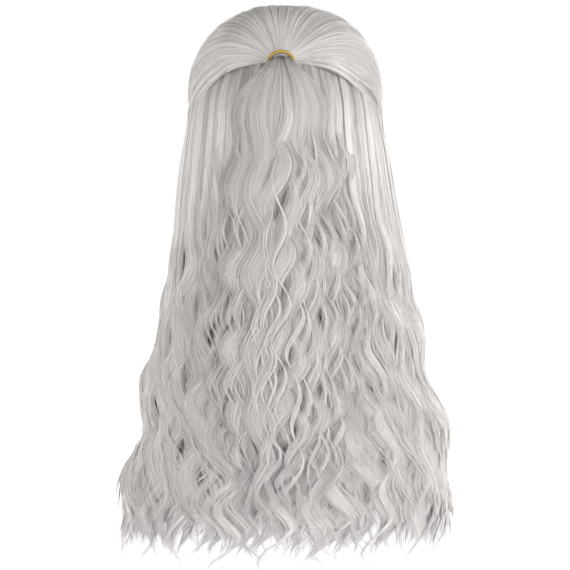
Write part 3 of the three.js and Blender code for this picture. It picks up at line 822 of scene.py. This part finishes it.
def ponytail_paths(spec, across, inside, loose, short):
    """Paths that follow the ponytail's route at places of its flat, rounded section."""
    share = np.linspace(spec.first, 1, spec.steps)[None, :]
    centre = route_points(PONYTAIL_ROUTE, share * (spec.last * (1 - 0.05 * short))[:, None])
    y, z = centre[..., 0], centre[..., 1]
    point = ease(share, 0.84, 1)
    turns = wave_turns(z, -70, spec.long, spec.low) + spec.swing
    swell = 1 + spec.swell * np.sin(TURN * 0.62 * turns + 3 * spec.turn) * ease(z, -100, -260)
    spread = (1 - spec.pull * ease(z, -100, -300)) * (1 - 0.84 * point) * swell
    risen = 1
    if spec.first:
        risen = mix(0.3, 1, ease(share, spec.first - 0.01, spec.first + 0.15))
    below_tie = 0.7 * max(-spec.v, 0) * ease(z, -44, -56) * (1 - ease(z, -80, -120))
    risen = risen * mix(0.7, 1, ease(z, -46, -58))
    v = spec.v * risen - below_tie + spec.thick * inside[:, None] * (1 - 0.85 * point)
    own = 0.012 * loose[:, None] * ease(z, -60, -200)
    u = spec.u + spec.half * across[:, None] * spread + own
    swing = TURN * turns + (0.2 * across + 0.14 * loose)[:, None] * ease(z, -96, -215)
    wave = spec.wave * ease(z, -68, -140) * (0.8 + 0.2 * np.sin(z * 0.024 + 6 * spec.swing))
    x = TIE_CENTRE[0] + u * through(PONYTAIL_WIDTH, z) + wave * np.sin(swing)
    x = x + through(FALL_LEAN, z)
    deep = v * through(PONYTAIL_DEPTH, z) + 0.2 * wave * np.cos(swing + 0.6)
    deep = deep - 26 * u ** 2 * ease(z, -49, -80)
    along = unit(np.gradient(centre, axis=1))
    return np.stack([x, y - along[..., 1] * deep, z + along[..., 0] * deep], axis=-1)


def ponytail():
    """Hair that leaves the tie as a round bundle, fans out and lies over the back in soft waves."""
    rng = np.random.default_rng(704)
    vary = rng.uniform
    hair = Hair()

    def lock(width, count, tone, depth, **given):
        usual = {"first": 0.0, "steps": 52, "pull": vary(0.0, 0.2), "swell": vary(0.1, 0.25),
                 "long": vary(88, 101), "low": vary(60, 66), "last": vary(0.88, 1.0),
                 "turn": vary(-0.8, 0.8),
                 "swing": 0.3 * math.sin(given["u"] * 3.4) + rng.normal(0, 0.1)}
        spec = Spec(**(usual | given))
        add_lock(hair, rng, lambda *place: ponytail_paths(spec, *place), from_axis, width, count,
                 tone, depth, 0.95)

    for row, (height, number) in enumerate([(-1.0, 3), (-0.5, 4), (0.05, 5), (0.6, 6)]):
        for place in range(number):
            u = ((place + 0.5) / number * 2 - 1) * 0.9
            # Lower tone overall, for deeper rows and towards the sides: painted shade; the normal
            # spread is random tone.
            lock(24, 18 + 22 * row, rng.normal(0.06 * row - 0.29, 0.06) - 0.1 * abs(u),
                 0.4 + 0.19 * row, u=u, half=1.35 / number, pull=vary(0.08, 0.34),
                 v=(height + vary(-0.17, 0.17)) * math.sqrt(1 - 0.8 * u * u), thick=0.25,
                 wave=vary(6.5, 10.5))
    for _ in range(38):
        u = vary(-1.25, 1.25)
        lock(0, 11, rng.normal(0.02, 0.07), 0.95, u=u, half=vary(0.02, 0.05),
             v=0.92 * math.sqrt(1 - 0.55 * u * u), thick=0.05, wave=vary(6, 10),
             first=vary(0.12, 0.5), steps=36, last=vary(0.75, 1.0), swing=vary(0, 1))
    return hair


def front_tress(side):
    """Hair in front of the ear: it starts under the swept-up hair and hangs from the ear tab."""
    rng = np.random.default_rng(900 + side)
    hair = Hair()
    hinge = TRESS_HINGE * [side, 1, 1]
    share = span(48)[None, :]
    for row, (height, number) in enumerate([(0.26, 2), (0.56, 3), (0.84, 3)]):
        for place in range(number):
            beside = (place + 0.5) / number * 2 - 1
            middle = 180 - side * 114 + side * beside * 5.6
            tip = -526 + rng.uniform(0, 30)
            swing_from, wave = 0.3 * beside + rng.normal(0, 0.16), rng.uniform(4.5, 8)

            def paths_of(across, inside, loose, short):
                z = mix(-93.0, (tip + 20 * short)[:, None], share)
                point = ease(z, tip + 90, tip)
                spread = (1 - 0.35 * ease(z, -170, -400)) * (1 - 0.93 * point)
                swing = TURN * (wave_turns(z, -190, 92, 62) + swing_from)
                wavy = wave * ease(z, -190, -320)
                azimuth = middle + side * (3.0 * across + 0.3 * loose)[:, None] * spread
                level = height + 0.14 * inside[:, None] * spread
                paths = fall_point(azimuth, level, z, wavy * np.sin(swing),
                                   0.45 * wavy * np.cos(swing))
                out = (side * (2.6 * row - 2.6 + 3.6 * inside)[:, None]
                       - side * 7 * (1 - ease(z, -95, -124)))
                back = (5 * across + 4.5 * beside)[:, None] + 0 * z
                start = hinge + np.stack([out, back, z - hinge[2]], axis=-1)
                return mix(start, paths, ease(z, -122, -185)[..., None])

            add_lock(hair, rng, paths_of, from_axis, width=14, count=50, tone=rng.normal(0, 0.06),
                     depth=0.35 + 0.28 * row, outer=0.7)
    return hair


# ---- Hair pieces ----


def stand_for(piece, slot, *nodes):
    """Hides the CAD nodes that a piece stands for; the slot is not used."""
    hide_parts(*nodes)
    return piece


def on_cap(piece, slot, *nodes):
    """The same for a piece that moves with the cap."""
    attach(stand_for(piece, slot, *nodes), "cap")


for number, lock in enumerate(BACK_LOCKS):
    on_cap(back_lock(number).build(f"hair_{lock}", FIBRE), "hair", lock)
for number, lock in enumerate(TOP_LOCKS):
    on_cap(top_lock(number).build(f"hair_top_{lock}", FIBRE), "hair", f"top_hair_{lock}")
for number, lock in zip((-1, 0, 1), ("nape_lock_left", "nape_lock_centre", "nape_lock_right")):
    on_cap(nape_lock(number).build(f"hair_{lock}", FIBRE), "hair", lock)

piece = stand_for(ponytail().build("hair_ponytail", FIBRE), "hair", "ponytail", "ponytail_root")
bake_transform(piece)
for label, side in LABELS:
    piece = stand_for(front_tress(side).build(f"hair_front_tress_{label}", FIBRE), "hair",
                      f"front_tress_{label}")
    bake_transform(piece)

# ---- The tie ----


def tie_band():
    """The covered elastic: a band with rounded edges and a slight twist in its ribs."""
    around = np.linspace(0, TURN, 161)
    section = np.linspace(0, TURN, 17)[:-1]
    a, s = np.meshgrid(around[:-1], section, indexing="ij")
    ribs = 0.14 * np.sin(75 * a + 1.5 * np.sin(s))
    out = TIE_HOLE + TIE_THICKNESS / 2 + (TIE_THICKNESS / 2 + ribs) * np.cos(s)
    along = (TIE_WIDTH / 2 + ribs) * np.sin(s) + 0.5 * np.sin(2 * a)
    ring = TIE_UP * np.cos(a)[..., None] + X_AXIS * np.sin(a)[..., None]
    points = TIE_CENTRE + out[..., None] * ring + along[..., None] * TIE_OUT
    n, m = a.shape
    index = np.arange(n * m).reshape(n, m)
    right, up = np.roll(index, -1, axis=0), np.roll(index, -1, axis=1)
    faces = np.stack([index, up, np.roll(right, -1, axis=1), right], axis=-1).reshape(-1, 4)
    return solid("tie_band", points.reshape(-1, 3), faces, ELASTIC, along=(a / TURN).ravel())


on_cap(tie_band(), "tie_elastic", "hair_tie")

# ---- The cap ----


def cap_net():
    """Diamond net: two families of threads that cross on their way from crown patch to rim."""
    rng = np.random.default_rng(40)
    threads = Hair()
    number, steps, drift = 120, 44, 48.0
    for way in (1, -1):
        share = span(steps)[None, :]
        azimuth = 360 * np.arange(number)[:, None] / number + way * drift * (share - 0.5)
        polar = mix(PATCH_ANGLE - 3, rim_polar(azimuth) - 1.0, share)
        paths = cap_point(azimuth, polar, 0.5 + 0.25 * way + 0 * polar)
        half = np.full((number, steps), 0.24)
        threads.add_strands(paths, half, half, from_head(paths), rng.uniform(0, 1, number),
                            np.ones(number))
    return threads


on_cap(cap_net().build("net_mesh", NET_THREAD), "cap_net", "crown_net")


def cap_strip(name, node, place, us, vs, material, closed=False):
    """A piece of tape on the cap."""
    on_cap(sheet(name, place, us, vs, material, closed), "cap_tape", node)


def hem(v, layer, depth=0.35):
    """How far a band's face stands out, with a folded hem along both edges."""
    fold = np.exp(-((np.minimum(v, 1 - v) / 0.13) ** 2))
    return mix(RIBBON[0], RIBBON[1] - depth, layer) + (depth * fold if layer else 0 * fold)


def rim_band(where, start, end):
    """A band along the cap's edge."""
    def place(u, v, layer):
        azimuth = mix(start, end, u)
        return cap_point(azimuth, rim_polar(azimuth) - v * BAND_ANGLE, hem(v, layer))
    cap_strip(f"band_{where}", f"{where}_band", place, span(121), span(13), TAPE)


def ribbon_strip(label, azimuth):
    """A ribbon from the crown patch down to the band."""
    def place(u, v, layer):
        a = azimuth + mix(-3.2, 3.2, v)
        polar = mix(PATCH_ANGLE + 0.6, rim_polar(a) - BAND_ANGLE - 0.8, u)
        return cap_point(a, polar, hem(v, layer, 0.2))
    cap_strip(f"tape_{label}", f"ribbon_{label}", place, span(61), span(9), TAPE)


def ear_tab(label, side):
    """A tab that hangs in front of the ear and narrows downwards."""
    def place(u, v, layer):
        across, down = 2 * v - 1, u
        taper = 1 - 0.55 * down ** 3
        polar = mix(83, 107, down) - 2.5 * across * across * down
        return cap_point(side * (TAB_AZIMUTH + across * 9 * taper), polar, hem(v, layer))
    cap_strip(f"tab_{label}", f"ear_tab_{label}", place, span(41), span(17), TAB_TAPE)


def arc_point(side, angle, depth, height):
    """A place in an adjuster: angle along its arc, depth inside it, height along the head."""
    radius = ARC_RADIUS - depth + ARC_SLOPE * height
    turned = np.radians(angle)
    return np.stack([side * (ARC_CENTRE[0] + radius * np.sin(turned)),
                     ARC_CENTRE[1] + radius * np.cos(turned), ARC_CENTRE[2] + height], axis=-1)


rim_band("front", *FRONT_SPAN)
rim_band("nape", *NAPE_SPAN)
cap_strip("patch_crown", "crown_patch",
          lambda u, v, layer: cap_point(360 * u, v * PATCH_ANGLE, mix(*RIBBON, layer) + 0 * v),
          span(97), span(13, 0.02), TAPE, closed=True)
for place, label in enumerate(reversed(TOP_LOCKS)):  # the ribbons share the wedges' names
    ribbon_strip(label, 120 + 20 * place)

stitches = Hair()
for start, end in (FRONT_SPAN, NAPE_SPAN):
    for up in (1.1, BAND_ANGLE - 1.1):
        azimuth = np.arange(start + 0.5, end, 0.9)[None, :]
        zigzag = 0.35 * np.where(np.arange(azimuth.shape[1]) % 2, 1, -1)[None, :]
        for face in (RIBBON[0] - 0.12, RIBBON[1] + 0.05):
            paths = cap_point(azimuth, rim_polar(azimuth) - up + zigzag, face + 0 * azimuth)
            half = np.full(azimuth.shape, 0.16)
            stitches.add_strands(paths, half, half, from_head(paths), np.array([0.5]), np.ones(1))
seams = stitches.build("band_stitching", STITCH_THREAD)
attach(seams, "cap")


def arc_strip(name, side, angles, depths, half, columns, material):
    """A strip that lies along an adjuster's arc."""
    return sheet(name, lambda u, v, layer: arc_point(side, mix(*angles, u), mix(*depths, layer),
                                                     mix(-half, half, v)),
                 span(columns), span(9), material)


def coat(node, material):
    """A better material for a CAD node whose own shape is right."""
    materials = frame["nodes"][node].data.materials
    materials.clear()
    materials.append(material)


for label, side in LABELS:
    ear_tab(label, side)
    stay = Hair()
    polar = np.linspace(86, 103, 24)[None, :]
    paths = cap_point(side * TAB_AZIMUTH + 0 * polar, polar, 3.4 + 0 * polar)
    half = mix(0.6, 1.0, np.sin(np.linspace(0, np.pi, 24)) ** 0.3)[None, :]
    stay.add_strands(paths, half, half * 0.5, from_head(paths), np.array([0.5]), np.ones(1))
    on_cap(stay.build(f"stay_{label}", WIRE), "stay_wire", f"ear_tab_stay_{label}")
    loops = arc_strip(f"tape_loops_{label}", side, LOOP_ANGLES, LOOP_DEPTHS, LOOP_HALF, 33, TAPE)
    on_cap(loops, "cap_tape", f"loop_tape_{label}")
    strap = arc_strip(f"strap_{label}", side, STRAP_ANGLES, STRAP_DEPTHS, STRAP_HALF, 25, STRAP)
    stand_for(strap, "strap_elastic", f"adjuster_strap_{label}")
    start, end = (tuple(arc_point(side, angle, 1.7, 0.0) * MM) for angle in (52.0, 38.0))
    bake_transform(strap)
    coat(f"adjuster_hook_{label}", PLASTIC)

for number in range(1, 9):
    coat(f"weft_track_{number}", TRACK_THREAD)

# ---- Floor, light and camera ----

FLOOR_DROP = 0.02  # metres from the lowest tip to the floor
FLOOR_HALF = 6.0
LAMP_TARGET = (0, 0.05, -0.36)
CAMERA_TARGET = (0.0, 0.06, -0.263)
CAMERA_DISTANCE, CAMERA_RISE = 2.4, math.radians(4)
SENSOR, PICTURE = 36, 0.570  # width of the sensor in mm, and of the picture at the target in metres


def aimed(name, data, place, target):
    """An object in the scene that looks from a place at a target, both in metres."""
    obj = bpy.data.objects.new(name, data)
    obj.location = place
    aim = np.array(target) - np.array(place)
    obj.rotation_euler = Vector(aim).to_track_quat("-Z", "Y").to_euler()
    bpy.context.scene.collection.objects.link(obj)
    return obj


def stage():
    """A pale floor, three soft lamps, a white surround, and the camera behind the wig."""
    level = CAD_BOX[0][2] - FLOOR_DROP
    mesh = bpy.data.meshes.new("floor")
    mesh.from_pydata([(x * FLOOR_HALF, y * FLOOR_HALF, level)
                      for x, y in ((-1, -1), (1, -1), (1, 1), (-1, 1))], [], [(0, 1, 2, 3)])
    n = Nodes("floor_paint")
    color = n.blend(n.spread(n.noise(3, 2.0)), (0.86, 0.86, 0.86, 1), (0.9, 0.9, 0.9, 1))
    paper = n.finish(color, 0.9, Emission_Strength=0.6)
    n.shader.inputs["Emission Color"].default_value = (1, 1, 1, 1)
    place_object("floor", mesh, paper)

    for name, place, size, energy in (("key", (-1.9, 1.6, 0.1), 1.3, 32),
                                      ("fill", (1.1, 1.2, -0.4), 0.28, 5),
                                      ("front", (0.6, -2.2, 0.7), 1.8, 18)):
        light = bpy.data.lights.new(name, "AREA")
        light.size, light.energy = size, energy
        aimed(name, light, place, LAMP_TARGET)
    world = bpy.data.worlds.new("studio")
    world.use_nodes = True
    tree = world.node_tree
    sky = tree.nodes["Background"]
    sky.inputs["Color"].default_value = (1, 1, 1, 1)
    path = tree.nodes.new("ShaderNodeLightPath")
    strength = tree.nodes.new("ShaderNodeMapRange")
    strength.inputs["To Min"].default_value = 0.58  # the light it gives; the camera sees it as 1
    tree.links.new(path.outputs["Is Camera Ray"], strength.inputs["Value"])
    tree.links.new(strength.outputs["Result"], sky.inputs["Strength"])
    scene = bpy.context.scene
    scene.world = world
    scene.view_settings.view_transform = "Standard"

    camera = bpy.data.cameras.new("camera")
    camera.sensor_width = SENSOR
    camera.lens = SENSOR / (PICTURE / CAMERA_DISTANCE)
    back = CAMERA_DISTANCE * np.array([0, math.cos(CAMERA_RISE), math.sin(CAMERA_RISE)])
    scene.camera = aimed("camera", camera, CAMERA_TARGET + back, CAMERA_TARGET)


stage()
